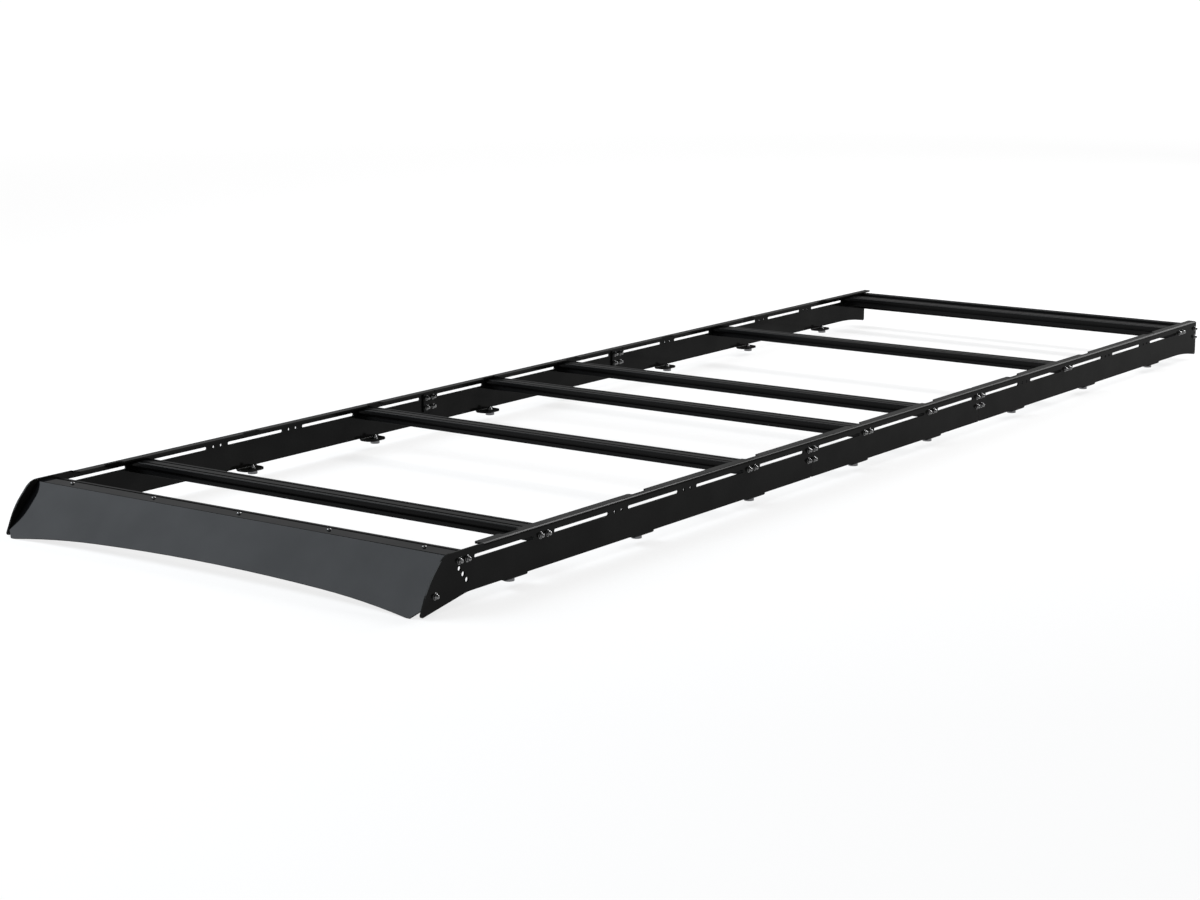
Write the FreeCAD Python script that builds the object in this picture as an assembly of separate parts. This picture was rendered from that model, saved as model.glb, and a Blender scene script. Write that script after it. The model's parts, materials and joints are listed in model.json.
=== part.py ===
import FreeCAD, Part
import math
import os

Vector = FreeCAD.Vector

# Roof rack for a long van: two side rails of bent sheet in three spliced lengths,
# T-slot crossbars bolted between them, a wind fairing in front and feet along both rails.
# Millimetres. X runs across the rack (+X is the vehicle's left), Y along it (-Y is the front), Z is up.
# While it is drawn, y = 0 is the front bolt pair and z = 0 the straight lower edge of the rails.

# Spacing along and across the rack
rack_width = 1400.0         # over the outer faces of the side rails
pair_pitch = 313.5          # from one bolt pair of a rail to the next
middle_pitch = 389.5        # the one longer bay, amidships
rear_overhang = 137.7       # from the last crossbar's bolt pair to the rear end of the rails

# Side rail sheet
rail_sheet = 5.0            # thickness
rail_height = 104.4         # lower edge to the top of the flange
flange_width = 30.5         # outer face of the rail to the inner edge of the flange
bend_radius = 7.5           # outside of every bend in the rail sheet
section_gap = 1.0           # between two rail lengths at a splice
section_corner = 6.0        # rounded corners of each rail length
flange_setback = 78.0       # front bolt pair back to the front end of the flange

# Holes in the side rails
bolt_hole = 9.0             # diameter, for M8 bolts
slot_height = 9.0
slot_margin = 42.0          # middle of a bolt pair to the end of the slot beside it
lightening_hole = 13.0      # diameter of the three holes in each cheek
lightening_step = 21.0      # between those holes
lightening_lean = 50.0      # slope of their row, degrees
lightening_drop = 34.2      # bolt row down to the middle one of them

# Cheek, the front end of a side rail, from the front bolt pair and the lower edge
cheek_top_reach = 68.0      # top corner
cheek_nose_reach = 126.3    # widest bow of the front edge
cheek_nose_height = 44.2
cheek_tip_reach = 160.0     # lower front tip
cheek_tip_drop = 29.8
cheek_heel_setback = 14.2   # where the slanted lower edge meets the straight one
cheek_top_round = 55.0
cheek_nose_round = 190.0
cheek_tip_round = 6.0
cheek_heel_round = 150.0
cheek_bolt_reach = 104.8    # bolt that holds the fairing's end tab
cheek_bolt_height = 13.6

# Rear end of a side rail, where the lower edge curves down
tail_length = 110.0         # from the bend of the lower edge to the rear end
tail_drop = 18.5
tail_round = 950.0
tail_corner = 8.0

# Feet: tabs bent inwards from the lower edge, with a spacer under each
first_foot = 207.1          # front bolt pair to the first foot
foot_spacings = [537.5, 539.0, 566.0, 448.0, 566.0, 532.0, 530.5]
foot_width = 81.0           # along the bend
foot_reach = 46.0           # outer face of the rail to the tip of the tab
foot_tip_round = 25.0
foot_bolt_inset = 26.5      # outer face of the rail to the foot bolt
foot_bolt_hole = 9.0        # diameter, for M8 studs
foot_spacer_diameter = 28.0
foot_spacer_height = 10.0
access_notch_width = 66.0   # notch in the flange above each foot bolt
access_notch_depth = 12.0
access_notch_round = 5.0

# T-slot extrusion of the crossbars, two square cells side by side
cell = 30.0
bar_corner = 1.5
slot_mouth = 8.2
slot_lip = 2.0              # depth of the mouth
slot_inside = 16.5          # width behind the lips
slot_straight = 4.5         # depth at which the sides start to taper
slot_floor = 8.0            # width at the bottom
slot_depth = 9.0
core_bore = 7.3             # diameter of the tapped bore through each cell
bar_flange_gap = 4.5        # between a flat crossbar and the flange above it
rear_bar_flange_gap = 5.9   # between the upright rear crossbar and the flange above it

# Splice plates on the inner faces of the rails
splice_sheet = 5.0
splice_edge = 15.0          # bolt middle to the edge of the plate
splice_corner = 5.0

# Wind fairing
fairing_sheet = 3.0
fairing_bend_reach = 44.8   # front bolt pair to the bend, on the outer surface
fairing_reach = 165.4       # front bolt pair to the lower corners
fairing_drop = 28.8         # lower edge of the rails to the lower corners
fairing_flange_depth = 44.0
fairing_bend_radius = 5.0   # outside of the bend
fairing_arch = 39.5         # rise of the lower edge in the middle, along the panel
fairing_end_arc_width = 280.0
fairing_end_arc_rise = 30.0 # rise where the flat middle arc meets a tighter end arc
fairing_end_arc_bow = 4.1   # end arc above its chord
fairing_foot_width = 12.0   # straight edge between an end arc and a cut corner
fairing_corner_width = 22.0 # cut lower corners
fairing_corner_height = 24.0
fairing_side_gap = 0.3      # between the fairing and a cheek
fairing_tab_width = 44.0    # end tab, along the panel
fairing_tab_depth = 34.0
fairing_tab_round = 8.0
fairing_screw_hole = 6.5    # diameter
fairing_screw_pitch = 297.6
fairing_screws_each_side = 2

# Places worked out from the sizes above
half_width = rack_width / 2
inner_face = half_width - rail_sheet
row_height = rail_height - rail_sheet - bar_flange_gap - cell / 2
bend_line = half_width - bend_radius
pairs = [pair_pitch * i for i in range(7)]
pairs += [pairs[6] + middle_pitch + pair_pitch * i for i in range(7)]
front_pair, rear_pair = pairs[0], pairs[13]
front_splice, rear_splice = pairs[5], pairs[8]
crossbar_pairs = [pairs[i] for i in (1, 4, 6, 7, 10, 13)]
rear_end = rear_pair + rear_overhang
rear_bar_y = rear_end - cell / 2
rear_bar_z = rail_height - rail_sheet - rear_bar_flange_gap - cell
foot_places = [first_foot + sum(foot_spacings[:i]) for i in range(len(foot_spacings) + 1)]
foot_bolt_x = half_width - foot_bolt_inset
cheek_bolt = (front_pair - cheek_bolt_reach, cheek_bolt_height)
same_point = 1e-6           # two ends of an outline nearer than this are one point


def in_plan(height):
    """Corner (x, y) placed at a height."""
    return lambda x, y: Vector(x, y, height)


def in_side_view(x):
    """Corner (y, z) placed at x."""
    return lambda y, z: Vector(x, y, z)


def in_cross_section(y):
    """Corner (x, z) placed at y."""
    return lambda x, z: Vector(x, y, z)


def rounded_face(corners, place):
    """Flat face through corners (a, b, radius), each rounded with an arc where radius is not 0."""
    points = [place(a, b) for a, b, radius in corners]
    starts, ends, arcs = [], [], []
    for i, (a, b, radius) in enumerate(corners):
        corner = points[i]
        if radius == 0:
            starts.append(corner)
            ends.append(corner)
            arcs.append(None)
            continue
        back = (points[i - 1] - corner).normalize()
        ahead = (points[(i + 1) % len(points)] - corner).normalize()
        half_angle = back.getAngle(ahead) / 2
        middle = (back + ahead).normalize()
        tangent = radius / math.tan(half_angle)
        start = corner + back * tangent
        end = corner + ahead * tangent
        crown = corner + middle * (radius / math.sin(half_angle) - radius)
        starts.append(start)
        ends.append(end)
        arcs.append(Part.Arc(start, crown, end).toShape())
    edges = []
    for i, arc in enumerate(arcs):
        if arc is not None:
            edges.append(arc)
        following = starts[(i + 1) % len(starts)]
        if not following.isEqual(ends[i], same_point):
            edges.append(Part.LineSegment(ends[i], following).toShape())
    return Part.Face(Part.Wire(edges))


def joined(shapes):
    """One solid from touching shapes."""
    return shapes[0].multiFuse(shapes[1:]).removeSplitter()


def cross_hole(y, z, diameter):
    """Cutter for a round hole through the sheet of the left rail."""
    start = Vector(inner_face - rail_sheet, y, z)
    return Part.makeCylinder(diameter / 2, 3 * rail_sheet, start, Vector(1, 0, 0))


def cross_slot(y_from, y_to, z):
    """Cutter for a slot with round ends through the sheet of the left rail."""
    radius = slot_height / 2
    flat_length = y_to - y_from - slot_height
    start = Vector(inner_face - rail_sheet, y_from + radius, z - radius)
    flat = Part.makeBox(3 * rail_sheet, flat_length, slot_height, start)
    ends = [cross_hole(y, z, slot_height) for y in (y_from + radius, y_to - radius)]
    return joined([flat] + ends)


# Side rails, drawn for the left side
def web(y_from, y_to, corners_before, corners_after):
    """Upright sheet below the flange bend, with extra outline corners at its front and rear ends."""
    top = rail_height - bend_radius
    outline = corners_before + [(y_to, top, 0), (y_from, top, 0)] + corners_after
    return rounded_face(outline, in_side_view(inner_face)).extrude(Vector(rail_sheet, 0, 0))


def bend(y_from, y_to, level, upward):
    """Quarter bend from the upright sheet at a level into a flat one, turning up (1) or down (-1)."""
    place = in_cross_section(y_from)
    diagonal = math.sqrt(0.5)
    arcs = []
    for radius in (bend_radius, bend_radius - rail_sheet):
        start = place(bend_line + radius, level)
        crown = place(bend_line + radius * diagonal, level + upward * radius * diagonal)
        end = place(bend_line, level + upward * radius)
        arcs.append((start, crown, end))
    outer, inner = arcs
    edges = [
        Part.Arc(*outer).toShape(),
        Part.LineSegment(outer[2], inner[2]).toShape(),
        Part.Arc(*reversed(inner)).toShape(),
        Part.LineSegment(inner[0], outer[0]).toShape(),
    ]
    return Part.Face(Part.Wire(edges)).extrude(Vector(0, y_to - y_from, 0))


def flange(y_from, y_to):
    """Top flange with its bend, notched above the feet that lie under it."""
    edge = half_width - flange_width
    notch_side = access_notch_width / 2
    outline = [(bend_line, y_from, 0), (edge, y_from, section_corner)]
    for y in foot_places:
        if y_from < y < y_to:
            outline.append((edge, y - notch_side, access_notch_round))
            outline.append((edge + access_notch_depth, y - notch_side, access_notch_round))
            outline.append((edge + access_notch_depth, y + notch_side, access_notch_round))
            outline.append((edge, y + notch_side, access_notch_round))
    outline += [(edge, y_to, section_corner), (bend_line, y_to, 0)]
    plate = rounded_face(outline, in_plan(rail_height - rail_sheet)).extrude(Vector(0, 0, rail_sheet))
    return joined([bend(y_from, y_to, rail_height - bend_radius, 1), plate])


def foot(y):
    """Tab bent inwards from the lower edge, with its bolt hole."""
    side = foot_width / 2
    tip = half_width - foot_reach
    outline = [
        (bend_line, y - side, 0),
        (tip, y - side, foot_tip_round),
        (tip, y + side, foot_tip_round),
        (bend_line, y + side, 0),
    ]
    tab = rounded_face(outline, in_plan(-bend_radius)).extrude(Vector(0, 0, rail_sheet))
    hole_start = Vector(foot_bolt_x, y, -bend_radius - rail_sheet)
    hole = Part.makeCylinder(foot_bolt_hole / 2, 3 * rail_sheet, hole_start)
    return joined([bend(y - side, y + side, 0, -1), tab.cut(hole)])


def rail_length(y_from, y_to, flange_from, corners_before, corners_after, extra_cutters):
    """One length of the left rail with its feet, slots and bolt holes."""
    feet = [foot(y) for y in foot_places if y_from < y < y_to]
    upright = web(flange_from, y_to, corners_before, corners_after)
    cutters = list(extra_cutters)
    for start, end in zip(pairs[:-1], pairs[1:]):
        if y_from < (start + end) / 2 < y_to:
            cutters.append(cross_slot(start + slot_margin, end - slot_margin, row_height))
    for pair in pairs:
        for y in (pair - cell / 2, pair + cell / 2):
            if y_from < y < y_to:
                cutters.append(cross_hole(y, row_height, bolt_hole))
                if pair in (front_splice, rear_splice):
                    cutters.append(cross_hole(y, row_height - cell, bolt_hole))
    return joined([upright, flange(flange_from, y_to)] + feet).cut(Part.Compound(cutters))


def front_length():
    """Front length of the left rail, ending in the cheek."""
    joint = front_splice - section_gap / 2
    flange_from = front_pair + flange_setback
    lower_edge = [
        (front_pair - cheek_tip_reach, -cheek_tip_drop, cheek_tip_round),
        (front_pair + cheek_heel_setback, 0, cheek_heel_round),
        (joint, 0, section_corner),
    ]
    front_edge = [
        (flange_from, rail_height, 0),
        (front_pair - cheek_top_reach, rail_height, cheek_top_round),
        (front_pair - cheek_nose_reach, cheek_nose_height, cheek_nose_round),
    ]
    lean = math.radians(lightening_lean)
    cutters = [cross_hole(*cheek_bolt, bolt_hole)]
    for i in (-1, 0, 1):
        y = front_pair + i * lightening_step * math.cos(lean)
        z = row_height - lightening_drop - i * lightening_step * math.sin(lean)
        cutters.append(cross_hole(y, z, lightening_hole))
    foremost = front_pair - cheek_tip_reach
    return rail_length(foremost, joint, flange_from, lower_edge, front_edge, cutters)


def middle_length():
    """Middle length of the left rail."""
    start = front_splice + section_gap / 2
    end = rear_splice - section_gap / 2
    lower_edge = [(start, 0, section_corner), (end, 0, section_corner)]
    return rail_length(start, end, start, lower_edge, [], [])


def rear_length():
    """Rear length of the left rail, with the lower edge curving down to the rear end."""
    start = rear_splice + section_gap / 2
    lower_edge = [
        (start, 0, section_corner),
        (rear_end - tail_length, 0, tail_round),
        (rear_end, -tail_drop, tail_corner),
    ]
    upright_bolts = [cross_hole(rear_bar_y, rear_bar_z + side * cell / 2, bolt_hole) for side in (-1, 1)]
    return rail_length(start, rear_end, start, lower_edge, [], upright_bolts)


# Splice plates
def splice_plate(y):
    """Plate behind the joint of two lengths of the left rail, with four bolt holes."""
    side = cell / 2 + splice_edge
    top = row_height + splice_edge
    bottom = row_height - cell - splice_edge
    corners = [(-side, bottom), (side, bottom), (side, top), (-side, top)]
    outline = [(y + across, z, splice_corner) for across, z in corners]
    face = rounded_face(outline, in_side_view(inner_face - splice_sheet))
    plate = face.extrude(Vector(splice_sheet, 0, 0))
    holes = []
    for z in (row_height, row_height - cell):
        for place in (y - cell / 2, y + cell / 2):
            start = Vector(inner_face - 2 * splice_sheet, place, z)
            holes.append(Part.makeCylinder(bolt_hole / 2, 3 * splice_sheet, start, Vector(1, 0, 0)))
    return plate.cut(Part.Compound(holes))


# Crossbars
def t_slot(along, face_height, turn):
    """Cutter for one T-slot down the length of a bar, turned about the bar's middle."""
    left = [
        (-slot_mouth / 2, face_height),
        (-slot_mouth / 2, face_height - slot_lip),
        (-slot_inside / 2, face_height - slot_lip),
        (-slot_inside / 2, face_height - slot_straight),
        (-slot_floor / 2, face_height - slot_depth),
    ]
    right = [(-a, b) for a, b in reversed(left)]
    outline = [(along + a, b, 0) for a, b in left + right]
    cutter = rounded_face(outline, in_side_view(-inner_face)).extrude(Vector(2 * inner_face, 0, 0))
    cutter.rotate(Vector(0, 0, 0), Vector(1, 0, 0), turn)
    return cutter


def flat_bar():
    """Crossbar lying flat, with its middle at the origin: two T-slots above and below, one at each edge."""
    outline = [(a * cell, b * cell / 2, bar_corner) for a, b in ((-1, -1), (1, -1), (1, 1), (-1, 1))]
    bar = rounded_face(outline, in_side_view(-inner_face)).extrude(Vector(2 * inner_face, 0, 0))
    cutters = []
    for side in (-1, 1):
        cutters.append(t_slot(side * cell / 2, cell / 2, 0))
        cutters.append(t_slot(side * cell / 2, cell / 2, 180))
        cutters.append(t_slot(0, cell, side * 90))
        start = Vector(-inner_face, side * cell / 2, 0)
        cutters.append(Part.makeCylinder(core_bore / 2, 2 * inner_face, start, Vector(1, 0, 0)))
    return bar.cut(Part.Compound(cutters))


# Wind fairing
fairing_top = row_height + cell / 2 + fairing_sheet
fairing_bend = Vector(0, front_pair - fairing_bend_reach, fairing_top)
fairing_foot = Vector(0, front_pair - fairing_reach, -fairing_drop)
panel_length = (fairing_foot - fairing_bend).Length
down_panel = (fairing_foot - fairing_bend).normalize()
off_panel = Vector(0, down_panel.z, -down_panel.y)
fairing_half = inner_face - fairing_side_gap


def on_panel(x, along):
    """Point on the outer surface of the fairing's panel, measured down from the bend."""
    return fairing_bend + down_panel * along + Vector(x, 0, 0)


def fairing_end_tab():
    """Tab bent back from the left end of the panel, bolted to the cheek."""
    bolt = Vector(0, *cheek_bolt)
    along = (bolt - fairing_bend).dot(down_panel)
    corners = []
    for a, b, radius in ((-1, 0, 0), (1, 0, 0), (1, 1, fairing_tab_round), (-1, 1, fairing_tab_round)):
        behind = fairing_sheet / 2 + b * (fairing_tab_depth - fairing_sheet / 2)
        point = on_panel(0, along + a * fairing_tab_width / 2) - off_panel * behind
        corners.append((point.y, point.z, radius))
    start = fairing_half - fairing_sheet
    tab = rounded_face(corners, in_side_view(start)).extrude(Vector(fairing_sheet, 0, 0))
    hole_start = Vector(start - fairing_sheet, *cheek_bolt)
    return tab.cut(Part.makeCylinder(bolt_hole / 2, 3 * fairing_sheet, hole_start, Vector(1, 0, 0)))


def fairing():
    """Bent sheet: a flange screwed on the front crossbar and a sloping panel with an arched lower edge."""
    back = fairing_bend.y + fairing_flange_depth
    under = fairing_top - fairing_sheet
    lip = fairing_foot - off_panel * fairing_sheet
    past_bend = fairing_sheet * (off_panel.z - 1) / down_panel.z
    inner_bend = fairing_bend - off_panel * fairing_sheet + down_panel * past_bend
    section = [
        (back, fairing_top, 0),
        (fairing_bend.y, fairing_top, fairing_bend_radius),
        (fairing_foot.y, fairing_foot.z, 0),
        (lip.y, lip.z, 0),
        (inner_bend.y, inner_bend.z, fairing_bend_radius - fairing_sheet),
        (back, under, 0),
    ]
    sheet = rounded_face(section, in_side_view(-fairing_half)).extrude(Vector(2 * fairing_half, 0, 0))

    corner_x = fairing_half - fairing_corner_width
    side_length = panel_length - fairing_corner_height
    beyond = panel_length + fairing_corner_height
    foot_x = corner_x - fairing_foot_width
    shoulder_x = foot_x - fairing_end_arc_width
    bow_x = (foot_x + shoulder_x) / 2
    shoulder_length = panel_length - fairing_end_arc_rise
    bow_length = panel_length - fairing_end_arc_rise / 2 - fairing_end_arc_bow
    arch_points = [
        (-foot_x, panel_length),
        (-bow_x, bow_length),
        (-shoulder_x, shoulder_length),
        (0, panel_length - fairing_arch),
        (shoulder_x, shoulder_length),
        (bow_x, bow_length),
        (foot_x, panel_length),
    ]
    arch = [on_panel(x, along) for x, along in arch_points]
    arcs = [Part.Arc(*arch[i:i + 3]).toShape() for i in (0, 2, 4)]
    outline = [arch[-1], on_panel(corner_x, panel_length)]
    outline += [on_panel(fairing_half, side_length), on_panel(fairing_half, beyond)]
    outline += [on_panel(-fairing_half, beyond), on_panel(-fairing_half, side_length)]
    outline += [on_panel(-corner_x, panel_length), arch[0]]
    sides = [Part.LineSegment(a, b).toShape() for a, b in zip(outline[:-1], outline[1:])]
    waste_face = Part.Face(Part.Wire(arcs + sides))
    waste_face.translate(off_panel * fairing_sheet)
    waste = waste_face.extrude(off_panel * (-3 * fairing_sheet))

    holes = []
    for i in range(-fairing_screws_each_side, fairing_screws_each_side + 1):
        start = Vector(i * fairing_screw_pitch, front_pair - cell / 2, under - fairing_sheet)
        holes.append(Part.makeCylinder(fairing_screw_hole / 2, 3 * fairing_sheet, start))
    left_tab = fairing_end_tab()
    right_tab = left_tab.mirror(Vector(0, 0, 0), Vector(1, 0, 0))
    return joined([sheet.cut(waste), left_tab, right_tab]).cut(Part.Compound(holes))


def foot_spacer(y):
    """Round spacer under the left foot at y, bored for the foot bolt."""
    start = Vector(foot_bolt_x, y, -bend_radius - foot_spacer_height)
    body = Part.makeCylinder(foot_spacer_diameter / 2, foot_spacer_height, start)
    return body.cut(Part.makeCylinder(foot_bolt_hole / 2, foot_spacer_height, start))


# The finished rack has its origin at the middle of its footprint, on the level it rests on
middle_y = (rear_end + front_pair - fairing_reach) / 2
lowest = fairing_foot.z - off_panel.z * fairing_sheet
to_frame = Vector(0, -middle_y, -lowest)
os.makedirs("parts", exist_ok=True)


def export(name, shape):
    """Write one piece, moved into the finished rack's frame."""
    moved = shape.copy()
    moved.translate(to_frame)
    moved.exportStep("parts/" + name + ".step")


def export_both_sides(name, shape):
    """Write a left piece and its mirror image on the right."""
    export("left_" + name, shape)
    export("right_" + name, shape.mirror(Vector(0, 0, 0), Vector(1, 0, 0)))


export_both_sides("rail_front", front_length())
export_both_sides("rail_middle", middle_length())
export_both_sides("rail_rear", rear_length())
export_both_sides("splice_front", splice_plate(front_splice))
export_both_sides("splice_rear", splice_plate(rear_splice))
for number, y in enumerate(foot_places, start=1):
    export_both_sides("foot_spacer_" + str(number), foot_spacer(y))

bar = flat_bar()
bar_places = [("front_crossbar", front_pair)]
bar_places += [("crossbar_" + str(number), y) for number, y in enumerate(crossbar_pairs, start=1)]
for name, y in bar_places:
    placed = bar.copy()
    placed.translate(Vector(0, y, row_height))
    export(name, placed)
upright = bar.copy()
upright.rotate(Vector(0, 0, 0), Vector(1, 0, 0), 90)
upright.translate(Vector(0, rear_bar_y, rear_bar_z))
export("rear_crossbar", upright)
export("wind_fairing", fairing())
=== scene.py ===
import json
import math

import bmesh
import bpy
from mathutils import Matrix, Vector


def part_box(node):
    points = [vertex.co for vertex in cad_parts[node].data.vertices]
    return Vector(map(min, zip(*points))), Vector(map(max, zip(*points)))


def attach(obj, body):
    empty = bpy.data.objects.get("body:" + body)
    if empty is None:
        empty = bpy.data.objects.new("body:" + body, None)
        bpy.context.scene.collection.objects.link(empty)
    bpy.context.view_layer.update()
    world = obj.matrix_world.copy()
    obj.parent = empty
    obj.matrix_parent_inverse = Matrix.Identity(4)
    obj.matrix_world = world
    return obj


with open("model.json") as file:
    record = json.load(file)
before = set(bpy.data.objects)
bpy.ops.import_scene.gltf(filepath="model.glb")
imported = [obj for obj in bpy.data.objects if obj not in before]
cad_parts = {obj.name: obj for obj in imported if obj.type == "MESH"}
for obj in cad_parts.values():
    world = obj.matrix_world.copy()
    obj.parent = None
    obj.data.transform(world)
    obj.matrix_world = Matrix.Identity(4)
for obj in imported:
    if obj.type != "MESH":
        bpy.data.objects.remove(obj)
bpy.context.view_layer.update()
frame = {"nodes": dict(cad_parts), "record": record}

# Side rails and splice plates
# Five-millimetre aluminium sheet, laser cut and bent, with plates bolted behind the joints of each
# rail's three lengths. All are powder coated black in one batch, and the coat has flowed out to a
# satin skin with a fine orange peel and a little haze from handling.
nodes = frame["nodes"]
sides = ("left", "right")
rail_black = (0.0108, 0.0108, 0.0104)
rail_gloss = 0.14
rail_coat_roughness = 0.08
coat_body_roughness = 0.5
peel_width = 0.0024
peel_depth = 0.000018
peel_detail = 2.0
haze_width = 0.11
haze_detail = 4.0
haze_tones = (0.85, 1.15)
haze_gloss_shares = (0.94, 1.06)
noise_middle = (0.3, 0.7)


def object_place(tree):
    """Object coordinates of a material or group."""
    return tree.nodes.new("ShaderNodeTexCoord").outputs["Object"]


def noise(tree, vector, scale, detail):
    """Value of a noise texture on a vector."""
    node = tree.nodes.new("ShaderNodeTexNoise")
    node.inputs["Scale"].default_value = scale
    node.inputs["Detail"].default_value = detail
    tree.links.new(vector, node.inputs["Vector"])
    return node.outputs["Fac"]


def spread(tree, value, bounds):
    """Spread the middle of a noise value over a range between two bounds, numbers or sockets."""
    node = tree.nodes.new("ShaderNodeMapRange")
    for label, bound in zip(("From Min", "From Max"), noise_middle):
        node.inputs[label].default_value = bound
    for label, bound in zip(("To Min", "To Max"), bounds):
        if isinstance(bound, float):
            node.inputs[label].default_value = bound
        else:
            tree.links.new(bound, node.inputs[label])
    tree.links.new(value, node.inputs["Value"])
    return node.outputs["Result"]


def coat_skin_group():
    """Skin of a sprayed coat: tone and gloss that drift with handling haze, and the height of its peel."""
    group = bpy.data.node_groups.new("coat_skin", "ShaderNodeTree")
    gloss_bounds = ("Low Gloss", "High Gloss")
    for label in gloss_bounds:
        group.interface.new_socket(label, in_out="INPUT", socket_type="NodeSocketFloat")
    for label in ("Tone", "Gloss", "Height"):
        group.interface.new_socket(label, in_out="OUTPUT", socket_type="NodeSocketFloat")
    entry = group.nodes.new("NodeGroupInput")
    leave = group.nodes.new("NodeGroupOutput")
    place = object_place(group)
    haze = noise(group, place, 1 / haze_width, haze_detail)
    peel = noise(group, place, 1 / peel_width, peel_detail)
    gloss = spread(group, haze, [entry.outputs[label] for label in gloss_bounds])
    group.links.new(spread(group, haze, haze_tones), leave.inputs["Tone"])
    group.links.new(gloss, leave.inputs["Gloss"])
    group.links.new(peel, leave.inputs["Height"])
    return group


coat_skin = coat_skin_group()


def shaded(name):
    """Material with a plain Principled shader, its node tree and that shader."""
    material = bpy.data.materials.new(name)
    material.use_nodes = True
    return material, material.node_tree, material.node_tree.nodes["Principled BSDF"]


def toned(tree, colour, tone):
    """A colour made lighter or darker by a tone that varies over the surface."""
    mix = tree.nodes.new("ShaderNodeVectorMath")
    mix.operation = "SCALE"
    mix.inputs[0].default_value = colour
    tree.links.new(tone, mix.inputs["Scale"])
    return mix.outputs["Vector"]


def bumped(tree, height, depth):
    """Normal from a height of the given depth in metres."""
    bump = tree.nodes.new("ShaderNodeBump")
    bump.inputs["Distance"].default_value = depth
    tree.links.new(height, bump.inputs["Height"])
    return bump.outputs["Normal"]


def coated_sheet(name, colour, gloss, roughness, depth):
    """Black coat on sheet: a dark body under a thin glossy skin with orange peel of a depth."""
    material, tree, shader = shaded(name)
    skin = tree.nodes.new("ShaderNodeGroup")
    skin.node_tree = coat_skin
    for label, share in zip(("Low Gloss", "High Gloss"), haze_gloss_shares):
        skin.inputs[label].default_value = gloss * share
    normal = bumped(tree, skin.outputs["Height"], depth)
    tree.links.new(toned(tree, colour, skin.outputs["Tone"]), shader.inputs["Base Color"])
    tree.links.new(skin.outputs["Gloss"], shader.inputs["Coat Weight"])
    tree.links.new(normal, shader.inputs["Normal"])
    tree.links.new(normal, shader.inputs["Coat Normal"])
    shader.inputs["Specular IOR Level"].default_value = 0
    shader.inputs["Roughness"].default_value = coat_body_roughness
    shader.inputs["Coat Roughness"].default_value = roughness
    return material


def dress(names, material):
    """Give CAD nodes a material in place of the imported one."""
    for name in names:
        nodes[name].data.materials.clear()
        nodes[name].data.materials.append(material)


rail_coat = coated_sheet("rail_coat", rail_black, rail_gloss, rail_coat_roughness, peel_depth)
rail_names = [side + "_rail_" + length for side in sides for length in ("front", "middle", "rear")]
splice_names = [side + "_splice_" + joint for side in sides for joint in ("front", "rear")]
dress(rail_names + splice_names, rail_coat)

# Crossbars
# Thirty by sixty T-slot extrusion, sawn to length, tapped at its ends and anodised black. Pressing
# it through the die leaves fine straight lines down its length, which the anodising keeps.
flat_bar_count = 6
bar_black = (0.0060, 0.0060, 0.0061)
bar_gloss = (0.1485, 0.1815)
bar_tones = (0.8, 1.2)
bar_coat_roughness = 0.22
die_line_width = 0.0011
die_line_length = 0.6
die_line_depth = 0.00001
die_line_detail = 2.0


def noise_of_widths(tree, widths, detail):
    """Noise with a width of its own along each of the object's axes."""
    stretch = tree.nodes.new("ShaderNodeMapping")
    stretch.inputs["Scale"].default_value = [1 / width for width in widths]
    tree.links.new(object_place(tree), stretch.inputs["Vector"])
    return noise(tree, stretch.outputs["Vector"], 1.0, detail)


def extruded_bar(name):
    """Anodised extrusion with die lines down its length."""
    material, tree, shader = shaded(name)
    lines = noise_of_widths(tree, (die_line_length, die_line_width, die_line_width), die_line_detail)
    normal = bumped(tree, lines, die_line_depth)
    tree.links.new(toned(tree, bar_black, spread(tree, lines, bar_tones)), shader.inputs["Base Color"])
    tree.links.new(spread(tree, lines, bar_gloss), shader.inputs["Coat Weight"])
    tree.links.new(normal, shader.inputs["Normal"])
    tree.links.new(normal, shader.inputs["Coat Normal"])
    shader.inputs["Specular IOR Level"].default_value = 0
    shader.inputs["Coat Roughness"].default_value = bar_coat_roughness
    return material


flat_bars = ["crossbar_" + str(number + 1) for number in range(flat_bar_count)]
dress(["front_crossbar", "rear_crossbar"] + flat_bars, extruded_bar("bar_anodised"))

# Wind fairing
# Three-millimetre aluminium sheet with a flange bent back along its top and a tab at each end, its
# lower edge cut to an arch that follows the roof. It is sprayed and polished smoother than the rails,
# so the cheeks mirror in it.
fairing_black = (0.0044, 0.0045, 0.0050)
fairing_gloss = 0.165
fairing_coat_roughness = 0.06
fairing_peel_depth = 0.000006
fairing_coat = coated_sheet(
    "fairing_coat", fairing_black, fairing_gloss, fairing_coat_roughness, fairing_peel_depth)
dress(["wind_fairing"], fairing_coat)

# Foot spacers
# Short tubes turned from aluminium bar and left a dull grey, one under each foot. The tool has left
# fine rings round them.
alloy_grey = (0.17, 0.17, 0.175)
ring_width = 0.00045
ring_depth = 0.00001
ring_detail = 1.0
ring_tones = (0.88, 1.08)
ring_roughness = (0.34, 0.46)


def turned_alloy(name):
    """Turned aluminium with fine rings one above the other."""
    material, tree, shader = shaded(name)
    rings = noise_of_widths(tree, (haze_width, haze_width, ring_width), ring_detail)
    tree.links.new(toned(tree, alloy_grey, spread(tree, rings, ring_tones)), shader.inputs["Base Color"])
    tree.links.new(spread(tree, rings, ring_roughness), shader.inputs["Roughness"])
    tree.links.new(bumped(tree, rings, ring_depth), shader.inputs["Normal"])
    shader.inputs["Metallic"].default_value = 1
    return material


feet = [mount for mount in frame["record"]["mounts"] if mount["name"].startswith("foot_pair_")]
spacer_names = [side + "_foot_spacer_" + str(i + 1) for side in sides for i in range(len(feet))]
dress(spacer_names, turned_alloy("spacer_alloy"))

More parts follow.
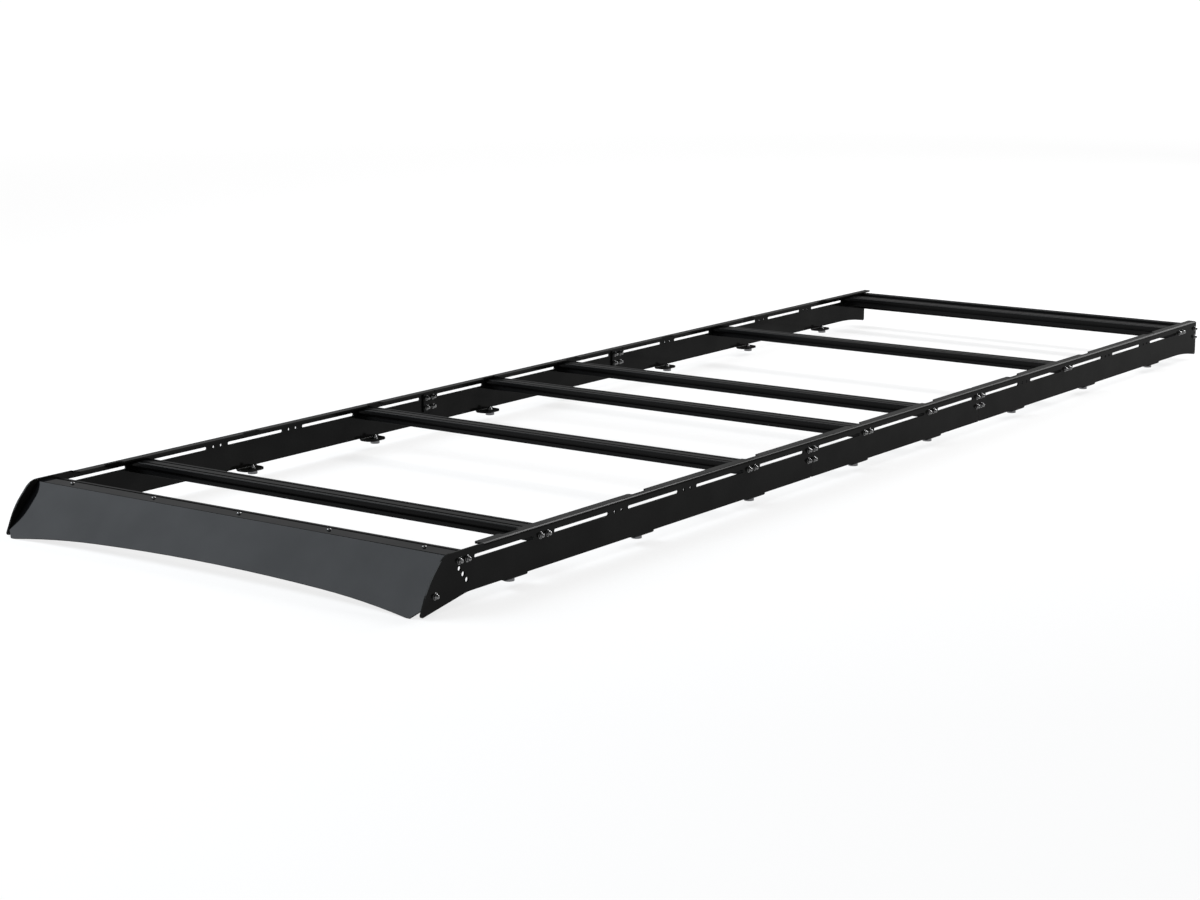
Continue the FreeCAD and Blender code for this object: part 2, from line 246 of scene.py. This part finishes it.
# Rail studs and cap nuts
# M8 studs in the crossbars' tapped ends and through the splice plates and the fairing's end tabs.
# Outside the rails each is closed by a domed cap nut of blackened steel on a broad washer.
side_signs = (("left", 1), ("right", -1))
steel_black = (0.010, 0.010, 0.011)
steel_tones = (0.7, 1.4)
steel_roughness = (0.14, 0.22)
black_oxide_index = 2.3
smudge_width = 0.004
smudge_detail = 3.0
turned_steps = 24
hexagon_sides = 6
weld_distance = 1e-6
sharp_angle = math.radians(35)
stud_pitch = 0.030
cheek_stud_ahead = 0.1048
cheek_stud_below = 0.0663
bar_stud_length = 0.024
splice_stud_length = 0.022
tab_stud_length = 0.020
stud_radius = 0.0036
thread_pitch = 0.00125
thread_depth = 0.6 * thread_pitch
thread_start = -0.001
washer_radius = 0.00875
washer_height = 0.0016
washer_edge = 0.0003
cap_flats = 0.013
cap_shoulder = 0.0050
dome_radius = 0.0057
dome_centre = 0.0063
dome_steps = 8
neck_drop = 0.0005
neck_flare = 0.0003
turn_between_nuts = 0.7


def blackened_steel(name):
    """Oil-blacked steel, a little uneven."""
    material, tree, shader = shaded(name)
    smudge = noise(tree, object_place(tree), 1 / smudge_width, smudge_detail)
    tree.links.new(toned(tree, steel_black, spread(tree, smudge, steel_tones)), shader.inputs["Base Color"])
    tree.links.new(spread(tree, smudge, steel_roughness), shader.inputs["Roughness"])
    shader.inputs["IOR"].default_value = black_oxide_index
    return material


def turned(bm, profile):
    """Spin a profile of (radius, height) points about the Z axis."""
    points = [bm.verts.new((radius, 0, height)) for radius, height in profile]
    edges = [bm.edges.new(ends) for ends in zip(points[:-1], points[1:])]
    bmesh.ops.spin(bm, geom=points + edges, axis=(0, 0, 1), cent=(0, 0, 0), angle=math.tau,
                   steps=turned_steps, use_merge=True)


def open_loop(bm, height):
    """Edges of the open loop at a height."""
    rim = [edge for edge in bm.edges if len(edge.link_faces) < 2]
    return [edge for edge in rim if all(abs(vert.co.z - height) < weld_distance for vert in edge.verts)]


def hexagon(bm, flats, height):
    """Hexagonal loop at a height, with as many corners as a turned ring."""
    corner = flats / 2 / math.cos(math.pi / hexagon_sides)
    ring = bmesh.ops.create_circle(bm, segments=hexagon_sides, radius=corner)
    bmesh.ops.translate(bm, verts=ring["verts"], vec=(0, 0, height))
    edges = list({edge for vert in ring["verts"] for edge in vert.link_edges})
    cuts = turned_steps // hexagon_sides - 1
    divided = bmesh.ops.subdivide_edges(bm, edges=edges, cuts=cuts)
    return list({item for item in divided["geom"] if isinstance(item, bmesh.types.BMEdge)})


def threaded(radius, length):
    """Profile of a thread down to a length below the seat, as ridges a pitch apart, closed at its end."""
    root = radius - thread_depth
    turns = max(1, round((thread_start + length) / thread_pitch))
    profile = []
    for turn in range(turns):
        profile.append((root, thread_start - turn * thread_pitch))
        profile.append((radius, thread_start - (turn + 0.5) * thread_pitch))
    return profile + [(root, -length), (0, -length)]


def finished_mesh(bm, name):
    """Merge, turn the faces outwards and store a bmesh with smooth round faces and sharp corners."""
    bmesh.ops.remove_doubles(bm, verts=bm.verts, dist=weld_distance)
    bmesh.ops.recalc_face_normals(bm, faces=bm.faces)
    mesh = bpy.data.meshes.new(name)
    bm.to_mesh(mesh)
    bm.free()
    for polygon in mesh.polygons:
        polygon.use_smooth = True
    mesh.set_sharp_from_angle(angle=sharp_angle)
    return mesh


def cap_nut(name, length):
    """Domed cap nut and washer on a threaded stud of a length, dome up, seated on z = 0."""
    bm = bmesh.new()
    washer = [(cap_flats / 2, washer_height), (washer_radius - washer_edge, washer_height)]
    washer += [(washer_radius, washer_height - washer_edge), (washer_radius, 0), (stud_radius, 0)]
    turned(bm, washer + threaded(stud_radius, length))
    seat_ring = open_loop(bm, washer_height)
    lower = hexagon(bm, cap_flats, washer_height)
    bmesh.ops.bridge_loops(bm, edges=seat_ring + lower)
    shoulder = hexagon(bm, cap_flats, cap_shoulder)
    bmesh.ops.bridge_loops(bm, edges=lower + shoulder)
    neck_height = dome_centre - neck_drop
    dome = [(dome_radius + neck_flare, neck_height)]
    for step in range(dome_steps + 1):
        swing = math.pi / 2 * step / dome_steps
        dome.append((dome_radius * math.cos(swing), dome_centre + dome_radius * math.sin(swing)))
    turned(bm, dome)
    bmesh.ops.bridge_loops(bm, edges=shoulder + open_loop(bm, neck_height))
    return finished_mesh(bm, name)


black_steel = blackened_steel("black_steel")


def fastener_set(name, template, places):
    """One piece with a copy of a fastener at every place, each turned a little further than the last."""
    bm = bmesh.new()
    for number, place in enumerate(places):
        first = len(bm.verts)
        bm.from_mesh(template)
        bm.verts.ensure_lookup_table()
        turn = Matrix.Rotation(number * turn_between_nuts, 4, "Z")
        bmesh.ops.transform(bm, matrix=place @ turn, verts=bm.verts[first:])
    mesh = bpy.data.meshes.new(name)
    bm.to_mesh(mesh)
    bm.free()
    mesh.materials.append(black_steel)
    piece = bpy.data.objects.new(name, mesh)
    bpy.context.scene.collection.objects.link(piece)
    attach(piece, "root")


def seats_on(face, spots, heading):
    """Matrices that stand fasteners at (y, z) spots on an upright face, heads along +X (1) or -X (-1)."""
    tilt = Matrix.Rotation(heading * math.pi / 2, 4, "Y")
    return [Matrix.Translation((face, y, z)) @ tilt for y, z in spots]


def middle(node):
    """Middle of a CAD node's box."""
    low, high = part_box(node)
    return (low + high) / 2


def pair(y, z):
    """Two studs beside each other on a row."""
    return [(y - stud_pitch / 2, z), (y + stud_pitch / 2, z)]


outer_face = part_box("left_rail_middle")[1].x
front_middle = middle("front_crossbar")
rear_middle = middle("rear_crossbar")
row = front_middle.z
bar_spots = []
for bar in ["front_crossbar"] + flat_bars:
    bar_spots += pair(middle(bar).y, row)
bar_spots += [(rear_middle.y, rear_middle.z + step * stud_pitch / 2) for step in (-1, 1)]
splice_spots = []
for joint in ("front", "rear"):
    joint_y = middle("left_splice_" + joint).y
    splice_spots += pair(joint_y, row) + pair(joint_y, row - stud_pitch)
cheek_spots = [(front_middle.y - cheek_stud_ahead, row - cheek_stud_below)]
outer_sets = (
    ("_bar_studs", cap_nut("bar_stud", bar_stud_length), bar_spots),
    ("_splice_studs", cap_nut("splice_stud", splice_stud_length), splice_spots),
    ("_cheek_stud", cap_nut("tab_stud", tab_stud_length), cheek_spots),
)
for side, sign in side_signs:
    for label, stud, spots in outer_sets:
        fastener_set(side + label, stud, seats_on(sign * outer_face, spots, sign))

# Inner cap nuts
# The studs through the splice plates and the fairing's end tabs carry the same washer and cap nut
# on the inner side.
inner_thread_length = 0.004
fairing_sheet = 0.003
splice_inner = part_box("left_splice_front")[0].x
tab_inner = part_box("wind_fairing")[1].x - fairing_sheet
inner_nut = cap_nut("inner_nut", inner_thread_length)
inner_sets = (("_splice_nuts", splice_inner, splice_spots), ("_tab_nut", tab_inner, cheek_spots))
for side, sign in side_signs:
    for label, face, spots in inner_sets:
        fastener_set(side + label, inner_nut, seats_on(sign * face, spots, -sign))

# Foot studs
# Studs that come up from the roof through spacer and foot, with play to line the rack up, each
# closed by a washer and cap nut like those on the rails.
rail_sheet = 0.005
spacer_low, spacer_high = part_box("left_foot_spacer_1")
foot_top = spacer_high.z + rail_sheet
foot_stud = cap_nut("foot_stud", foot_top - spacer_low.z)
foot_x = middle("left_foot_spacer_1").x
for side, sign in side_signs:
    seats = [Matrix.Translation((sign * foot_x, foot["pos_m"][1], foot_top)) for foot in feet]
    fastener_set(side + "_foot_studs", foot_stud, seats)

# Fairing screws
# Five M6 button-head screws of blackened steel that clamp the fairing's flange down on the front
# crossbar, into nuts in its front T-slot.
screw_steps = (-2, -1, 0, 1, 2)
screw_pitch = 0.2976
screw_length = 0.012
screw_radius = 0.0029
button_radius = 0.0058
button_height = 0.0042
button_edge = 0.0014
button_steps = 5
socket_rim = 0.0027
socket_flats = 0.004
socket_depth = 0.002


def sunk_socket(bm, height):
    """Close the ring at the top of a head with a hexagon socket."""
    rim = open_loop(bm, height)
    hole = hexagon(bm, socket_flats, height)
    bmesh.ops.bridge_loops(bm, edges=rim + hole)
    wall = bmesh.ops.extrude_edge_only(bm, edges=hole)
    floor_verts = [item for item in wall["geom"] if isinstance(item, bmesh.types.BMVert)]
    bmesh.ops.translate(bm, verts=floor_verts, vec=(0, 0, -socket_depth))
    bmesh.ops.contextual_create(bm, geom=open_loop(bm, height - socket_depth))


def button_screw(name, length):
    """Button head with a hexagon socket on a threaded shank of a length, seated on z = 0."""
    bm = bmesh.new()
    profile = []
    for step in range(button_steps + 1):
        swing = math.pi / 2 * (1 - step / button_steps)
        radius = socket_rim + (button_radius - socket_rim) * math.cos(swing)
        profile.append((radius, button_edge + (button_height - button_edge) * math.sin(swing)))
    profile += [(button_radius, 0), (screw_radius, 0)]
    turned(bm, profile + threaded(screw_radius, length))
    sunk_socket(bm, button_height)
    return finished_mesh(bm, name)


fairing_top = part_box("wind_fairing")[1].z
screw_y = front_middle.y - stud_pitch / 2
seats = [Matrix.Translation((step * screw_pitch, screw_y, fairing_top)) for step in screw_steps]
fastener_set("fairing_screws", button_screw("fairing_screw", screw_length), seats)

# Studio
# A pale floor that runs out of sight, a pale room, a large softbox above and in front of the fairing,
# a long one above the rear and a strip over it that draws the light line along the rails' bends.
white = (1, 1, 1)
floor_radius = 90.0
floor_corners = 96
floor_drop = 0.0005
floor_grey = 0.22
floor_glow_near = 0.76
floor_glow_far = 0.98
near_edge = 3.0
far_edge = 14.0
room_low_grey = 0.82
room_high_grey = 0.18
room_greys_between = ((0.28, 1.0), (0.5, 0.3))
dim_side_from = 0.2
dim_side_to = 0.45
dim_side_strength = 0.45


def ramped(tree, value, start, end, low, high):
    """Value that goes from low to high while another goes from start to end."""
    node = tree.nodes.new("ShaderNodeMapRange")
    for label, bound in zip(("From Min", "From Max", "To Min", "To Max"), (start, end, low, high)):
        node.inputs[label].default_value = bound
    tree.links.new(value, node.inputs["Value"])
    return node.outputs["Result"]


def calculated(tree, operation, first, second):
    """Result of an operation on two values."""
    node = tree.nodes.new("ShaderNodeMath")
    node.operation = operation
    tree.links.new(first, node.inputs[0])
    tree.links.new(second, node.inputs[1])
    return node.outputs["Value"]


def floor_material():
    """Matte floor, lifted to white where camera and gloss see it, more so out of the lamps' reach."""
    material, tree, shader = shaded("studio_floor")
    shader.inputs["Base Color"].default_value = (floor_grey, floor_grey, floor_grey, 1)
    shader.inputs["Specular IOR Level"].default_value = 0
    distance = tree.nodes.new("ShaderNodeVectorMath")
    distance.operation = "LENGTH"
    tree.links.new(object_place(tree), distance.inputs[0])
    glow = ramped(tree, distance.outputs["Value"], near_edge, far_edge, floor_glow_near, floor_glow_far)
    rays = tree.nodes.new("ShaderNodeLightPath").outputs
    seen = rays["Is Camera Ray"]
    for kind in ("Is Glossy Ray", "Is Transmission Ray"):
        seen = calculated(tree, "MAXIMUM", seen, rays[kind])
    shader.inputs["Emission Color"].default_value = (*white, 1)
    tree.links.new(calculated(tree, "MULTIPLY", seen, glow), shader.inputs["Emission Strength"])
    return material


bm = bmesh.new()
bmesh.ops.create_circle(bm, cap_ends=True, segments=floor_corners, radius=floor_radius)
floor_mesh = bpy.data.meshes.new("studio_floor")
bm.to_mesh(floor_mesh)
bm.free()
floor_mesh.materials.append(floor_material())
studio_floor = bpy.data.objects.new("studio_floor", floor_mesh)
studio_floor.location.z = -floor_drop
bpy.context.scene.collection.objects.link(studio_floor)

room = bpy.data.worlds.new("studio_room")
room.use_nodes = True
room_tree = room.node_tree
direction = room_tree.nodes.new("ShaderNodeSeparateXYZ")
room_tree.links.new(object_place(room_tree), direction.inputs["Vector"])
walls = room_tree.nodes.new("ShaderNodeValToRGB")
wall_stops = walls.color_ramp.elements
wall_stops[0].color = (room_low_grey, room_low_grey, room_low_grey, 1)
wall_stops[1].color = (room_high_grey, room_high_grey, room_high_grey, 1)
for height, grey in room_greys_between:
    wall_stops.new(height).color = (grey, grey, grey, 1)
strength = ramped(room_tree, direction.outputs["X"], dim_side_from, dim_side_to, 1, dim_side_strength)
backdrop = room_tree.nodes["Background"]
room_tree.links.new(direction.outputs["Z"], walls.inputs["Fac"])
room_tree.links.new(walls.outputs["Color"], backdrop.inputs["Color"])
room_tree.links.new(strength, backdrop.inputs["Strength"])
bpy.context.scene.world = room


def softbox(name, place, target, width, length, radiance, colour):
    """Rectangular softbox of an even radiance, aimed at a point."""
    lamp = bpy.data.lights.new(name, "AREA")
    lamp.color = colour
    lamp.shape = "RECTANGLE"
    lamp.size = width
    lamp.size_y = length
    lamp.energy = radiance * math.pi * width * length
    box = bpy.data.objects.new(name, lamp)
    box.location = place
    box.rotation_euler = (Vector(target) - Vector(place)).to_track_quat("-Z", "Y").to_euler()
    bpy.context.scene.collection.objects.link(box)


fairing_middle = middle("wind_fairing")
softbox("front_softbox", place=fairing_middle + Vector((-3.41, -1.50, 3.34)), target=fairing_middle,
        width=4.6, length=3.0, radiance=7.5, colour=(0.88, 0.94, 1))
softbox("rear_softbox", place=(1.0, 7.0, 4.2), target=(0.7, 1.0, 0.1),
        width=4.0, length=6.0, radiance=8.0, colour=white)
softbox("strip_softbox", place=(0.5, 5.2, 5.3), target=(0.7, -1.5, 0.1),
        width=7.5, length=1.2, radiance=8.0, colour=white)

# Camera
# It stands in front of the rack's left corner, a little above it, with a long lens. The picture is
# shifted by half a pixel, which lines up its pixel grid.
camera_place = Vector((4.34291, -6.58278, 1.56906))
camera_azimuth = math.radians(35.7002)
camera_elevation = math.radians(11.6768)
camera_lens = 76.804
film_width = 36
half_pixel = 0.5 / 1200
camera_data = bpy.data.cameras.new("photo_camera")
camera_data.sensor_width = film_width
camera_data.lens = camera_lens
camera_data.shift_x = -half_pixel
camera_data.shift_y = half_pixel
camera_data.clip_end = 2 * floor_radius
camera = bpy.data.objects.new("photo_camera", camera_data)
camera.location = camera_place
camera.rotation_euler = (math.pi / 2 - camera_elevation, 0, camera_azimuth)
bpy.context.scene.collection.objects.link(camera)
bpy.context.scene.camera = camera
bpy.context.scene.view_settings.view_transform = "Standard"
